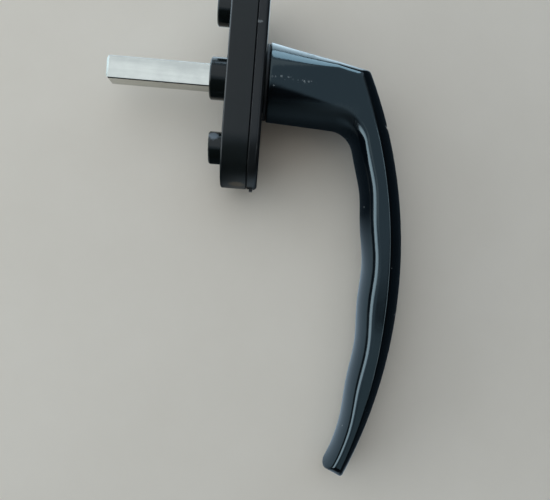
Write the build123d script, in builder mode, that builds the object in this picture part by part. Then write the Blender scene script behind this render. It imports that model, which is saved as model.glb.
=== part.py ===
from build123d import *
from math import asin, atan2, cos, degrees, pi, radians, sin, sqrt, tan
import os

os.makedirs("parts", exist_ok=True)

# Millimetres. The spindle runs into the window along +Y, the user stands at -Y and the grip hangs along -Z.
# "Front" sizes are distances from the back of the plate towards the user.

# Plate: moulded base and the cover in front of it
plate_length = 67.0
plate_width = 30.0
base_depth = 7.9
cover_depth = 3.2
cover_wall = 1.6
seam_gap = 0.08
base_back_edge = 0.6
seam_bevel = 0.25
cover_front_edge = 1.2

# Back of the base: two screw bosses and the collar round the spindle
screw_spacing = 43.0
screw_hole_d = 5.2
screw_head_d = 9.6
boss_d = 10.0
boss_length = 4.7
collar_d = 13.0
collar_length = 5.5
moulded_bevel = 0.4
spindle_room = 0.32

# Cored-out ends of the base round the screw towers
core_wall = 2.0
core_floor = 2.4
tower_wall = 3.6
rib_thick = 1.3
rib_lines = 3

# Little lifting lip and notch at the cover's lower end
lip_width = 3.0
lip_thick = 1.0
lip_drop = 0.7
notch_width = 7.0
notch_height = 0.9
notch_reach = 0.8

# Square spindle and its cross pin
spindle_square = 7.0
spindle_round = 0.4
spindle_reach = 37.0
spindle_seat = 26.5
spindle_bevel = 0.8
spindle_slack = 0.04
pin_d = 2.5
pin_slack = 0.04
pin_inset = 0.3

# Hub of the lever and the pieces on it
hub_d = 15.0
hub_across_flats = 12.6
hub_root = 1.0
seat_slack = 0.05
run_slack = 0.10
bush_wall = 1.7
bush_flange_d = 23.2
bush_flange_thick = 1.0
bush_edge = 0.2
plate_thick = 1.2
plate_corner = 3.0
plate_margin = 0.45
cam_play = 0.10
cam_thick = 2.4
cam_across_flats = 19.0
cam_corner_d = 24.0
cam_room = 0.4
washer_thick = 0.5
washer_d = 19.0
clip_thick = 0.8
clip_d = 18.0
clip_groove = 0.6
clip_mouth = 5.0
clip_lip = 0.7
tail_gap = 0.2

# Flat detent springs
spring_thick = 0.5
spring_half_length = 13.0
spring_narrower = 0.3
spring_slot_slack = 0.12

# Countersunk screws of the retaining plate
small_screw_x = 6.5
small_screw_d = 2.2
small_head_d = 3.8
small_screw_length = 4.6
small_screw_inset = 2.2

# Neck of the lever
neck_d = 24.0
neck_flat = 0.6
neck_drop = 0.9
neck_top_fall = 0.212
neck_steps = 4
neck_edge = 0.5
elbow_radius = 7.7
elbow_steps = 5
elbow_half_width = 10.3
elbow_round_in = 5.4
elbow_round_top = 5.0

# Grip of the lever: outer face on a large arc with a crown across it, finger waves on the inner face
grip_reach = 57.6
grip_arc_radius = 149.3
grip_arc_height = -57.1
grip_crown = 12.2
grip_tip_angle = 24.8
grip_thick = 11.85
grip_tip_thick = 5.37
grip_half_width = 10.0
grip_tip_half_width = 7.6
grip_taper_power = 1.74
grip_round_in = 3.7
grip_tip_round_in = 1.9
grip_steps = 26
wave_height = 0.31
wave_pitch = 10.14
wave_crest = 6.27
wave_fade = 6.0
heel_height = 0.95
heel_span = 3.0
tip_round = 0.8
tip_dome = 2.6
tip_corner = 0.9
overrun = 6.0

# Stack along the axis, from the seam back to the floor of the base and forward to the neck
plate_back = base_depth - plate_thick - seat_slack
cam_front = plate_back - cam_play
cam_back = cam_front - cam_thick
washer_front = cam_back - seat_slack
washer_back = washer_front - washer_thick
clip_front = washer_back - seat_slack
clip_back = clip_front - clip_thick
groove_back = clip_back - seat_slack
hub_end = groove_back - clip_lip
base_floor = hub_end - tail_gap
cover_back = base_depth + seam_gap
cover_front = cover_back + cover_depth
flange_back = cover_front + seam_gap
flange_front = flange_back + bush_flange_thick
neck_front = flange_front + seat_slack
sleeve_back = base_depth
pin_front = (sleeve_back + flange_back) / 2

# Sizes across the axis
bush_bore_d = hub_d + 2 * seat_slack
sleeve_d = bush_bore_d + 2 * bush_wall
cover_hole_d = sleeve_d + 2 * run_slack
plate_hole_d = hub_d + 2 * run_slack
pocket_r = cam_corner_d / 2 + cam_room
spring_x = cam_across_flats / 2 + seat_slack
slot_near = spring_x - spring_slot_slack
slot_far = spring_x + spring_thick + spring_slot_slack
slot_half_length = spring_half_length + spring_slot_slack
plate_half_x = pocket_r + plate_margin
plate_half_z = slot_half_length + small_screw_inset + plate_margin
small_screw_z = plate_half_z - small_screw_inset
spindle_corner_r = sqrt(2) * (spindle_square / 2 - spindle_round) + spindle_round
collar_bore_d = 2 * (spindle_corner_r + spindle_room)
socket_square = spindle_square + 2 * spindle_slack
socket_end = spindle_seat + spindle_slack

# Centres of the grip's arc and of the elbow's inner bend
arc_front = grip_reach - grip_arc_radius
elbow_height = -neck_d / 2 - neck_drop - elbow_radius
elbow_rise = elbow_height - grip_arc_height
elbow_front = arc_front + sqrt((grip_arc_radius - grip_thick - elbow_radius) ** 2 - elbow_rise**2)
elbow_lean = degrees(atan2(elbow_rise, elbow_front - arc_front))
grip_end_angle = grip_tip_angle + wave_fade / 4


def at(front):
    """Plane across the axis at a distance in front of the plate's back; its Y is up."""
    return Plane.XZ.offset(front)


def mix(start, end, share):
    return start + (end - start) * share


def neck_top(front):
    """Height of the straight top line of the neck."""
    return neck_d / 2 - neck_top_fall * (front - neck_front)


def leaning(front, height, lean):
    """Plane through a centre line across the lever, leaning up from the axis; its Y points outwards."""
    tilt = radians(lean)
    return Plane(origin=(0, -front, height), x_dir=(1, 0, 0), z_dir=(0, -sin(tilt), -cos(tilt)))


def lever_slice(front, height, lean, reach_in, reach_out, half_width, round_in, round_out):
    """Slice through the lever, with oval rounding on its inner and outer side."""
    side_in = reach_in + round_in
    side_out = reach_out - round_out
    with BuildSketch(leaning(front, height, lean)) as outline:
        with BuildLine():
            EllipticalCenterArc((0, side_in), half_width, round_in, 180, arc_size=180)
            Line((half_width, side_in), (half_width, side_out))
            EllipticalCenterArc((0, side_out), half_width, round_out, 0, arc_size=180)
            Line((-half_width, side_out), (-half_width, side_in))
        make_face()
    return outline.sketch.face()


def neck_slice(step):
    share = step / neck_steps
    front = mix(neck_front, elbow_front, share)
    low = mix(neck_d / 2, neck_d / 2 + neck_drop, share)
    round_low = mix(neck_d / 2 - neck_flat, elbow_round_in, share)
    round_top = mix(neck_d / 2 - neck_flat, elbow_round_top, share)
    half = mix(neck_d / 2, elbow_half_width, share)
    reach_in = -low - elbow_height
    reach_out = neck_top(front) - elbow_height
    return lever_slice(front, elbow_height, 90, reach_in, reach_out, half, round_low, round_top)


def elbow_slice(step):
    share = step / elbow_steps
    lean = mix(90, elbow_lean, share)
    tilt = radians(lean)
    top_line = (neck_top(elbow_front) - elbow_height) / (sin(tilt) + neck_top_fall * cos(tilt))
    reach_out = min(top_line, elbow_radius + grip_thick + 3 * overrun)
    half = mix(elbow_half_width, grip_half_width, share)
    round_in = mix(elbow_round_in, grip_round_in, share)
    return lever_slice(
        elbow_front, elbow_height, lean, elbow_radius, reach_out, half, round_in, elbow_round_top
    )


def grip_taper(lean):
    """Share of the taper towards the tip, which starts at the level of the arc's centre."""
    return (max(0, -lean) / grip_tip_angle) ** grip_taper_power


def grip_depth(lean):
    """Thickness of the grip with its finger waves and the little heel at the tip."""
    fade = min(1, (elbow_lean - lean) / wave_fade)
    wave = fade * wave_height * cos(2 * pi * (lean - wave_crest) / wave_pitch)
    heel = heel_height * max(0, 1 - (lean + grip_tip_angle) / heel_span) ** 2
    return mix(grip_thick, grip_tip_thick, grip_taper(lean)) + wave + heel


def grip_slice(step):
    lean = mix(elbow_lean - wave_fade / 2, -grip_end_angle, step / grip_steps)
    taper = grip_taper(lean)
    half = mix(grip_half_width, grip_tip_half_width, taper)
    round_in = mix(grip_round_in, grip_tip_round_in, taper)
    reach_in = grip_arc_radius - grip_depth(lean)
    reach_out = grip_arc_radius + overrun
    return lever_slice(
        arc_front, grip_arc_height, lean, reach_in, reach_out, half, round_in, overrun / 2
    )


slices = [neck_slice(step) for step in range(neck_steps + 1)]
slices += [elbow_slice(step) for step in range(1, elbow_steps + 1)]
slices += [grip_slice(step) for step in range(grip_steps + 1)]

# Envelope of the grip: crowned outer arc turned about the arc's axis, domed at the tip with a rounded rim
arc_axis = Axis((0, -arc_front, grip_arc_height), (1, 0, 0))
tip_plane = leaning(arc_front, grip_arc_height, -grip_tip_angle)
shoulder = grip_arc_radius - grip_crown
arc_core = shoulder - 2 * neck_d
dome_plane = Plane(
    origin=tip_plane.from_local_coords((0, shoulder, 0)), x_dir=(1, 0, 0), z_dir=tip_plane.y_dir
)
dome_radius = (grip_tip_half_width**2 + tip_dome**2) / (2 * tip_dome)
dome_end_x = grip_tip_half_width + 2 * tip_round
dome_turn = asin(dome_end_x / dome_radius)
dome_end_y = dome_radius * (1 - cos(dome_turn))
dome_side_x = grip_crown + 2 * overrun
dome_side_y = dome_end_y + tan(dome_turn) * (dome_side_x - dome_end_x)

with BuildPart() as crown:
    with BuildSketch(leaning(arc_front, grip_arc_height, -grip_end_angle)):
        with BuildLine():
            CenterArc((0, shoulder), grip_crown, 0, 180)
            Polyline(
                (-grip_crown, shoulder),
                (-grip_crown - overrun, shoulder),
                (-grip_crown - overrun, arc_core),
                (grip_crown + overrun, arc_core),
                (grip_crown + overrun, shoulder),
                (grip_crown, shoulder),
            )
        make_face()
    revolve(axis=arc_axis, revolution_arc=-90)
    with BuildSketch(dome_plane):
        with BuildLine():
            CenterArc((0, dome_radius), dome_radius, 270 - degrees(dome_turn), 2 * degrees(dome_turn))
            Polyline(
                (dome_end_x, dome_end_y),
                (dome_side_x, dome_side_y),
                (dome_side_x, -overrun),
                (-dome_side_x, -overrun),
                (-dome_side_x, dome_side_y),
                (-dome_end_x, dome_end_y),
            )
        make_face()
    extrude(amount=shoulder - arc_core + overrun, both=True, mode=Mode.SUBTRACT)
    rim = crown.faces().filter_by(GeomType.TORUS)[0].edges().sort_by(Axis.Z)[0:3]
    fillet(rim, tip_round)

# Rounded inner corner of the tip
tip_side = Plane(
    origin=tip_plane.from_local_coords((0, grip_arc_radius - grip_depth(-grip_tip_angle), 0)),
    x_dir=tip_plane.y_dir,
    z_dir=(-1, 0, 0),
)

# Lever: neck, elbow and grip in one flowing casting
with BuildPart() as lever:
    loft(slices)
    add(crown.part, mode=Mode.INTERSECT)
    with BuildSketch(tip_side):
        with BuildLine():
            CenterArc((tip_corner, tip_corner), tip_corner, 180, 90)
            Polyline(
                (tip_corner, 0),
                (tip_corner, -overrun),
                (-overrun, -overrun),
                (-overrun, tip_corner),
                (0, tip_corner),
            )
        make_face()
    extrude(amount=neck_d, both=True, mode=Mode.SUBTRACT)
    # Softened back edge of the neck
    with BuildSketch(Plane.XY):
        Polygon(
            (neck_d / 2 - 2 * neck_edge, neck_edge - neck_front),
            (neck_d / 2 + 2 * neck_edge, neck_edge - neck_front),
            (neck_d / 2 + 2 * neck_edge, -neck_front - 3 * neck_edge),
            align=None,
        )
    revolve(axis=Axis.Y, mode=Mode.SUBTRACT)
    # Turned hub with two flats for the cam and a groove for the circlip
    with BuildSketch(at(neck_front + hub_root)):
        Circle(hub_d / 2)
    extrude(amount=hub_end - neck_front - hub_root)
    with BuildSketch(at(hub_end)):
        Rectangle(hub_d + overrun, hub_d + overrun)
        Rectangle(hub_across_flats, hub_d + 2 * overrun, mode=Mode.SUBTRACT)
    extrude(amount=cam_front - hub_end, mode=Mode.SUBTRACT)
    with BuildSketch(at(groove_back)):
        Circle(hub_d / 2 + overrun)
        Circle(hub_d / 2 - clip_groove, mode=Mode.SUBTRACT)
    extrude(amount=washer_back - groove_back, mode=Mode.SUBTRACT)
    # Square socket and cross hole
    with BuildSketch(at(hub_end)):
        RectangleRounded(socket_square, socket_square, spindle_round)
    extrude(amount=socket_end - hub_end, mode=Mode.SUBTRACT)
    with BuildSketch(Plane.YZ):
        with Locations((-pin_front, 0)):
            Circle(pin_d / 2 + pin_slack)
    extrude(amount=hub_d, both=True, mode=Mode.SUBTRACT)

# Spindle: square bar with softened edges, bevelled at both ends and cross drilled for the pin
with BuildPart() as spindle:
    with BuildSketch(at(spindle_seat)):
        Rectangle(spindle_square, spindle_square)
    extrude(amount=-spindle_seat - spindle_reach)
    chamfer(spindle.faces().filter_by(Axis.Y).edges(), spindle_bevel)
    fillet(spindle.edges().filter_by(Axis.Y), spindle_round)
    with BuildSketch(Plane.YZ):
        with Locations((-pin_front, 0)):
            Circle(pin_d / 2 + pin_slack)
    extrude(amount=spindle_square, both=True, mode=Mode.SUBTRACT)

# Cross pin, hidden under the sleeve of the bush
with BuildPart() as spindle_pin:
    with BuildSketch(Plane.YZ):
        with Locations((-pin_front, 0)):
            Circle(pin_d / 2)
    extrude(amount=hub_d / 2 - pin_inset, both=True)
    chamfer(spindle_pin.edges().filter_by(GeomType.CIRCLE), pin_inset)

# Guide bush: sleeve through the cover and a flange in front of it, which shows as a thin ring at the neck
with BuildPart() as guide_bush:
    with BuildSketch(at(sleeve_back)):
        Circle(sleeve_d / 2)
    extrude(amount=flange_front - sleeve_back)
    with BuildSketch(at(flange_back)):
        Circle(bush_flange_d / 2)
    extrude(amount=bush_flange_thick)
    rims = guide_bush.edges().filter_by(GeomType.CIRCLE).sort_by(SortBy.RADIUS)[-2:]
    chamfer(rims, bush_edge)
    with BuildSketch(at(sleeve_back)):
        Circle(bush_bore_d / 2)
    extrude(amount=flange_front - sleeve_back, mode=Mode.SUBTRACT)

# Base plate: oblong moulding with bosses and collar behind, mechanism pocket and cored ends in front
with BuildPart() as base_plate:
    with BuildSketch(at(0)):
        SlotOverall(plate_length, plate_width, rotation=90)
    extrude(amount=base_depth)
    fillet(base_plate.faces().sort_by(Axis.Y)[-1].edges(), base_back_edge)
    chamfer(base_plate.faces().sort_by(Axis.Y)[0].edges(), seam_bevel)
    with BuildSketch(at(base_floor)):
        with GridLocations(0, screw_spacing, 1, 2):
            Circle(boss_d / 2)
    extrude(amount=-base_floor - boss_length)
    with BuildSketch(at(base_floor)):
        Circle(collar_d / 2)
    extrude(amount=-base_floor - collar_length)
    ends = base_plate.faces().filter_by(Axis.Y).sort_by(Axis.Y)[-3:]
    chamfer(ends.edges(), moulded_bevel)
    # Pocket for the cam, slots for the ends of the springs and the recess of the retaining plate
    with BuildSketch(at(base_floor)):
        Circle(pocket_r)
    extrude(amount=base_depth - base_floor, mode=Mode.SUBTRACT)
    with BuildSketch(at(cam_back)):
        with GridLocations(slot_near + slot_far, 0, 2, 1):
            Rectangle(slot_far - slot_near, 2 * slot_half_length)
    extrude(amount=base_depth - cam_back, mode=Mode.SUBTRACT)
    with BuildSketch(at(plate_back)):
        RectangleRounded(
            2 * (plate_half_x + seat_slack), 2 * (plate_half_z + seat_slack), plate_corner + seat_slack
        )
    extrude(amount=base_depth - plate_back, mode=Mode.SUBTRACT)
    with BuildSketch(at(base_depth - small_screw_length - tail_gap)):
        with GridLocations(2 * small_screw_x, 2 * small_screw_z, 2, 2):
            Circle(small_screw_d / 2 + seat_slack)
    extrude(amount=base_depth, mode=Mode.SUBTRACT)
    # Cored ends: a crescent round each screw tower, split by ribs
    with BuildSketch(at(core_floor)):
        SlotOverall(plate_length - 2 * core_wall, plate_width - 2 * core_wall, rotation=90)
        Rectangle(plate_width, 2 * (plate_half_z + core_wall / 2), mode=Mode.SUBTRACT)
        with GridLocations(0, screw_spacing, 1, 2):
            Circle(screw_hole_d / 2 + tower_wall, mode=Mode.SUBTRACT)
            with PolarLocations(0, rib_lines, start_angle=90, angular_range=180):
                Rectangle(plate_width, rib_thick, mode=Mode.SUBTRACT)
    extrude(amount=base_depth - core_floor, mode=Mode.SUBTRACT)
    # Through holes: spindle and countersunk screw holes
    with BuildSketch(at(-collar_length)):
        Circle(collar_bore_d / 2)
    extrude(amount=collar_length + base_depth, mode=Mode.SUBTRACT)
    with Locations(at(base_depth)):
        with GridLocations(0, screw_spacing, 1, 2):
            CounterSinkHole(screw_hole_d / 2, screw_head_d / 2, counter_sink_angle=90)

# Cover plate: hollow cap with a hole for the bush, a lifting notch and lip at its lower end
with BuildPart() as cover_plate:
    with BuildSketch(at(cover_back)):
        SlotOverall(plate_length, plate_width, rotation=90)
    extrude(amount=cover_depth)
    fillet(cover_plate.faces().sort_by(Axis.Y)[0].edges(), cover_front_edge)
    chamfer(cover_plate.faces().sort_by(Axis.Y)[-1].edges(), seam_bevel)
    with BuildSketch(at(cover_back + notch_height)):
        with Locations((0, -plate_length / 2)):
            Rectangle(lip_width, 2 * lip_drop)
    extrude(amount=lip_thick)
    with BuildSketch(at(cover_back)):
        SlotOverall(plate_length - 2 * cover_wall, plate_width - 2 * cover_wall, rotation=90)
    extrude(amount=cover_depth - cover_wall, mode=Mode.SUBTRACT)
    with BuildSketch(at(cover_back)):
        with Locations((0, -plate_length / 2)):
            Rectangle(notch_width, 2 * notch_reach)
    extrude(amount=notch_height, mode=Mode.SUBTRACT)
    with BuildSketch(at(cover_back)):
        Circle(cover_hole_d / 2)
    extrude(amount=cover_depth, mode=Mode.SUBTRACT)

# Retaining plate: steel, let into the front of the base
with BuildPart() as retaining_plate:
    with BuildSketch(at(plate_back)):
        RectangleRounded(2 * plate_half_x, 2 * plate_half_z, plate_corner)
        Circle(plate_hole_d / 2, mode=Mode.SUBTRACT)
    extrude(amount=plate_thick)
    with Locations(at(plate_back + plate_thick)):
        with GridLocations(2 * small_screw_x, 2 * small_screw_z, 2, 2):
            CounterSinkHole(
                small_screw_d / 2 + seat_slack, small_head_d / 2 + seat_slack, counter_sink_angle=90
            )

# Four countersunk screws
head_height = (small_head_d - small_screw_d) / 2
with BuildPart() as retaining_screws:
    with Locations(at(plate_back + plate_thick)):
        with GridLocations(2 * small_screw_x, 2 * small_screw_z, 2, 2):
            Cylinder(
                small_screw_d / 2, small_screw_length, align=(Align.CENTER, Align.CENTER, Align.MAX)
            )
            Cone(
                small_screw_d / 2,
                small_head_d / 2,
                head_height,
                align=(Align.CENTER, Align.CENTER, Align.MAX),
            )

# Detent cam: four flats with round corners, keyed on the flats of the hub
with BuildPart() as detent_cam:
    with BuildSketch(at(cam_back)):
        Rectangle(cam_across_flats, cam_across_flats)
        Circle(cam_corner_d / 2, mode=Mode.INTERSECT)
    extrude(amount=cam_thick)
    with BuildSketch(at(cam_back)):
        Circle(bush_bore_d / 2)
        Rectangle(hub_across_flats + 2 * seat_slack, hub_d + overrun, mode=Mode.INTERSECT)
    extrude(amount=cam_thick, mode=Mode.SUBTRACT)

# Thrust washer behind the cam
with BuildPart() as cam_washer:
    with BuildSketch(at(washer_back)):
        Circle(washer_d / 2)
        Circle(bush_bore_d / 2, mode=Mode.SUBTRACT)
    extrude(amount=washer_thick)

# Circlip in the groove of the hub, open at the bottom
with BuildPart() as circlip:
    with BuildSketch(at(clip_back)):
        Circle(clip_d / 2)
        Circle(hub_d / 2 - clip_groove + seat_slack, mode=Mode.SUBTRACT)
        with Locations((0, -clip_d / 2)):
            Rectangle(clip_mouth, clip_d, mode=Mode.SUBTRACT)
    extrude(amount=clip_thick)

# Flat springs on both sides of the cam
spring_back = cam_back + spring_narrower / 2
with BuildPart() as detent_spring_left:
    with BuildSketch(at(spring_back)):
        with Locations((-spring_x - spring_thick / 2, 0)):
            Rectangle(spring_thick, 2 * spring_half_length)
    extrude(amount=cam_thick - spring_narrower)

with BuildPart() as detent_spring_right:
    with BuildSketch(at(spring_back)):
        with Locations((spring_x + spring_thick / 2, 0)):
            Rectangle(spring_thick, 2 * spring_half_length)
    extrude(amount=cam_thick - spring_narrower)

lever.part.label = "lever"
spindle.part.label = "spindle"
spindle_pin.part.label = "spindle_pin"
guide_bush.part.label = "guide_bush"
base_plate.part.label = "base_plate"
cover_plate.part.label = "cover_plate"
retaining_plate.part.label = "retaining_plate"
retaining_screws.part.label = "retaining_screws"
detent_cam.part.label = "detent_cam"
cam_washer.part.label = "cam_washer"
circlip.part.label = "circlip"
detent_spring_left.part.label = "detent_spring_left"
detent_spring_right.part.label = "detent_spring_right"

export_step(lever.part, "parts/lever.step")
export_step(spindle.part, "parts/spindle.step")
export_step(spindle_pin.part, "parts/spindle_pin.step")
export_step(guide_bush.part, "parts/guide_bush.step")
export_step(base_plate.part, "parts/base_plate.step")
export_step(cover_plate.part, "parts/cover_plate.step")
export_step(retaining_plate.part, "parts/retaining_plate.step")
export_step(retaining_screws.part, "parts/retaining_screws.step")
export_step(detent_cam.part, "parts/detent_cam.step")
export_step(cam_washer.part, "parts/cam_washer.step")
export_step(circlip.part, "parts/circlip.step")
export_step(detent_spring_left.part, "parts/detent_spring_left.step")
export_step(detent_spring_right.part, "parts/detent_spring_right.step")
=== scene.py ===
from math import radians

import bmesh
import bpy
import numpy as np
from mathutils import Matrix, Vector


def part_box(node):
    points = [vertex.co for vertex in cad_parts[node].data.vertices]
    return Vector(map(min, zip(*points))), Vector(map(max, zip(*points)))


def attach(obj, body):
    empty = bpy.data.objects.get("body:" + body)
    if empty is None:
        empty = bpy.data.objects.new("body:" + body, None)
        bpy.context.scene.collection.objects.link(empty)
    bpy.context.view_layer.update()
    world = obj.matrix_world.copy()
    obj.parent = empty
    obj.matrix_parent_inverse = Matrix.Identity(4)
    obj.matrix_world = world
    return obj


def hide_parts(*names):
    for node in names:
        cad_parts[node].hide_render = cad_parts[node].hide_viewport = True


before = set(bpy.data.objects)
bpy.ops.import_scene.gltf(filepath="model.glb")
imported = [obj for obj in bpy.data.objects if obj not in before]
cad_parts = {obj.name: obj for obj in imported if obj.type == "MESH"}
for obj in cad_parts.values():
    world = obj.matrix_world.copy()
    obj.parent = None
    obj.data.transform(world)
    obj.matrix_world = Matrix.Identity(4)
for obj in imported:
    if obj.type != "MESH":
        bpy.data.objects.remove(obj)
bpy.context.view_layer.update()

scene = bpy.context.scene
MM = 0.001

# Lever sizes in millimetres and degrees, as in the solid
NECK_FRONT = 12.31
NECK_D = 24.0
NECK_FLAT = 0.6
NECK_DROP = 0.9
NECK_TOP_FALL = 0.212
NECK_EDGE = 0.5
HUB_D = 15.0
SOCKET_FRONT = 27.0
ELBOW_RADIUS = 7.7
ELBOW_HALF_WIDTH = 10.3
ELBOW_ROUND_IN = 5.4
ELBOW_ROUND_TOP = 5.0
GRIP_REACH = 57.6
ARC_RADIUS = 149.3
ARC_HEIGHT = -57.1
CROWN = 12.2
TIP_ANGLE = 24.8
GRIP_THICK = 11.85
TIP_THICK = 5.37
GRIP_HALF_WIDTH = 10.0
TIP_HALF_WIDTH = 7.6
TAPER_POWER = 1.74
ROUND_IN = 3.7
TIP_ROUND_IN = 1.9
WAVE_HEIGHT = 0.31
WAVE_PITCH = 10.14
WAVE_CREST = 6.27
WAVE_FADE = 6.0
HEEL_HEIGHT = 0.95
HEEL_SPAN = 3.0
TIP_ROUND = 0.85
TIP_DOME = 2.6
DOME_SPAN = 6.0
DOME_LIMIT = 10.5
OVERRUN = 6.0

# Share of the elbow's bend after which its outer rounding turns into the grip's
CORNER_SHARE = 0.5

# Softness of the crease between the lever's sides and its crown, in millimetres
NECK_CREASE = 0.3
ELBOW_CREASE = 0.5
GRIP_CREASE = 0.25

# Chip on the outer edge below the corner, in millimetres: place, spread, depth and bare spot
CHIP_X = -3.6
CHIP_Y = -49.6
CHIP_Z = -11.6
CHIP_SPREAD_X = 2.4
CHIP_SPREAD_Z = 0.6
CHIP_DEPTH = 0.4
CHIP_BACK = -46.0
CHIP_BARE = (2.5, 1.2, 0.5)

# Fineness of the lever's mesh: slices along it, points round each and rings on the tip
EDGE_SLICES = 6
NECK_SLICES = 42
ELBOW_SLICES = 111
GRIP_SLICES = 181
TIP_SLICES = 9
ROUND_POINTS = 73
SIDE_POINTS = 37
TIP_RINGS = (0.85, 0.65, 0.45, 0.25, 0.08)

# Search for the crown along a line: start inside the inner face, reach and halvings
CROWN_START = 0.5
CROWN_REACH = 60.0
CROWN_HALVINGS = 40

ARC_FRONT = GRIP_REACH - ARC_RADIUS
ELBOW_HEIGHT = -NECK_D / 2 - NECK_DROP - ELBOW_RADIUS
ELBOW_RISE = ELBOW_HEIGHT - ARC_HEIGHT
ELBOW_REACH = ARC_RADIUS - GRIP_THICK - ELBOW_RADIUS
ELBOW_FRONT = ARC_FRONT + (ELBOW_REACH**2 - ELBOW_RISE**2) ** 0.5
ELBOW_LEAN = np.degrees(np.arctan2(ELBOW_RISE, ELBOW_FRONT - ARC_FRONT))
SHOULDER = ARC_RADIUS - CROWN
DOME_RADIUS = (TIP_HALF_WIDTH**2 + TIP_DOME**2) / (2 * TIP_DOME)

# Screws of the retaining plate, in millimetres, as in the solid, and their recesses
SCREW_HEAD_D = 3.8
SCREW_SHANK_D = 2.2
SCREW_LENGTH = 4.6
RECESS_WIDTH = 0.62
RECESS_LENGTH = 2.3
RECESS_DEPTH = 0.55
HEAD_SIDES = 48
SHANK_SIDES = 32

# Worn end of the lower screw boss, in millimetres, and its ragged waves across and up
BOSS_Z = -21.5
BOSS_R = 5.3
BOSS_END = 4.2
BOSS_SLANT = 0.45
BOSS_RAGGED = 0.08
RAGGED_ACROSS = 5.1
RAGGED_UP = 4.3

# Points of a CAD mesh closer than this are one, in metres; slack round the hub, in millimetres
SAME_POINT = 1e-6
HUB_SLACK = 0.01

# Edges sharper than this stay sharp, in degrees
SHARP = 30
LEVER_SHARP = 40


def mix(start, end, share):
    return start + (end - start) * share


# Lever

def neck_top(front):
    return NECK_D / 2 - NECK_TOP_FALL * (front - NECK_FRONT)


def neck_row(front):
    share = (front - NECK_FRONT) / (ELBOW_FRONT - NECK_FRONT)
    reach_in = -mix(NECK_D / 2, NECK_D / 2 + NECK_DROP, share) - ELBOW_HEIGHT
    reach_out = neck_top(front) - ELBOW_HEIGHT
    half = mix(NECK_D / 2, ELBOW_HALF_WIDTH, share)
    round_in = mix(NECK_D / 2 - NECK_FLAT, ELBOW_ROUND_IN, share)
    round_out = mix(NECK_D / 2 - NECK_FLAT, ELBOW_ROUND_TOP, share)
    step = min(1.0, (front - NECK_FRONT) / NECK_EDGE)
    inset = NECK_EDGE * (1 - (1 - (1 - step) ** 2) ** 0.5)
    crease = mix(NECK_CREASE, ELBOW_CREASE, share)
    return (
        front, ELBOW_HEIGHT, 90.0,
        reach_in, reach_out, half, round_in, round_out, inset, crease,
    )


def elbow_row(lean):
    share = (90 - lean) / (90 - ELBOW_LEAN)
    tilt = np.radians(lean)
    rise = neck_top(ELBOW_FRONT) - ELBOW_HEIGHT
    top_line = rise / (np.sin(tilt) + NECK_TOP_FALL * np.cos(tilt))
    past_arc = ELBOW_RADIUS + GRIP_THICK + mix(3 * OVERRUN, OVERRUN, share)
    half = mix(ELBOW_HALF_WIDTH, GRIP_HALF_WIDTH, share)
    round_in = mix(ELBOW_ROUND_IN, ROUND_IN, share)
    past_corner = np.clip((share - CORNER_SHARE) / (1 - CORNER_SHARE), 0, 1)
    round_out = mix(ELBOW_ROUND_TOP, OVERRUN / 2, past_corner)
    crease = mix(ELBOW_CREASE, GRIP_CREASE, share)
    return (
        ELBOW_FRONT, ELBOW_HEIGHT, lean,
        ELBOW_RADIUS, min(top_line, past_arc), half, round_in, round_out, 0.0, crease,
    )


def grip_sizes(lean):
    """Inner reach, half width and inner rounding of the grip, with its waves and the tip's heel."""
    taper = (np.maximum(0.0, -lean) / TIP_ANGLE) ** TAPER_POWER
    fade = np.minimum(1.0, (ELBOW_LEAN - lean) / WAVE_FADE)
    wave = fade * WAVE_HEIGHT * np.cos(2 * np.pi * (lean - WAVE_CREST) / WAVE_PITCH)
    heel = HEEL_HEIGHT * np.maximum(0.0, 1 - (lean + TIP_ANGLE) / HEEL_SPAN) ** 2
    thick = mix(GRIP_THICK, TIP_THICK, taper) + wave + heel
    return (
        ARC_RADIUS - thick,
        mix(GRIP_HALF_WIDTH, TIP_HALF_WIDTH, taper),
        mix(ROUND_IN, TIP_ROUND_IN, taper),
    )


def grip_row(lean, inset=0.0):
    reach_in, half, round_in = grip_sizes(lean)
    return (
        ARC_FRONT, ARC_HEIGHT, lean,
        reach_in, ARC_RADIUS + OVERRUN, half, round_in, OVERRUN / 2, inset, GRIP_CREASE,
    )


def stations():
    """Slices of the lever from the neck's back edge to the tip, as one column for each size."""
    quarter = np.pi / 2
    tip_rounding = np.degrees(TIP_ROUND / ARC_RADIUS)
    edge = NECK_FRONT + NECK_EDGE * (1 - np.cos(np.linspace(0, quarter, EDGE_SLICES)))
    neck = np.linspace(NECK_FRONT + NECK_EDGE, ELBOW_FRONT, NECK_SLICES)[1:]
    elbow = np.linspace(90, ELBOW_LEAN, ELBOW_SLICES)[1:]
    grip = np.linspace(ELBOW_LEAN, -TIP_ANGLE + tip_rounding, GRIP_SLICES)[1:]
    rows = [neck_row(front) for front in (*edge, *neck)]
    rows += [elbow_row(lean) for lean in elbow]
    rows += [grip_row(lean) for lean in grip]
    for turn in np.linspace(0, quarter, TIP_SLICES)[1:]:
        lean = -TIP_ANGLE + tip_rounding * (1 - np.sin(turn))
        rows.append(grip_row(lean, TIP_ROUND * (1 - np.cos(turn))))
    return [column[:, None] for column in np.array(rows).T]


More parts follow.
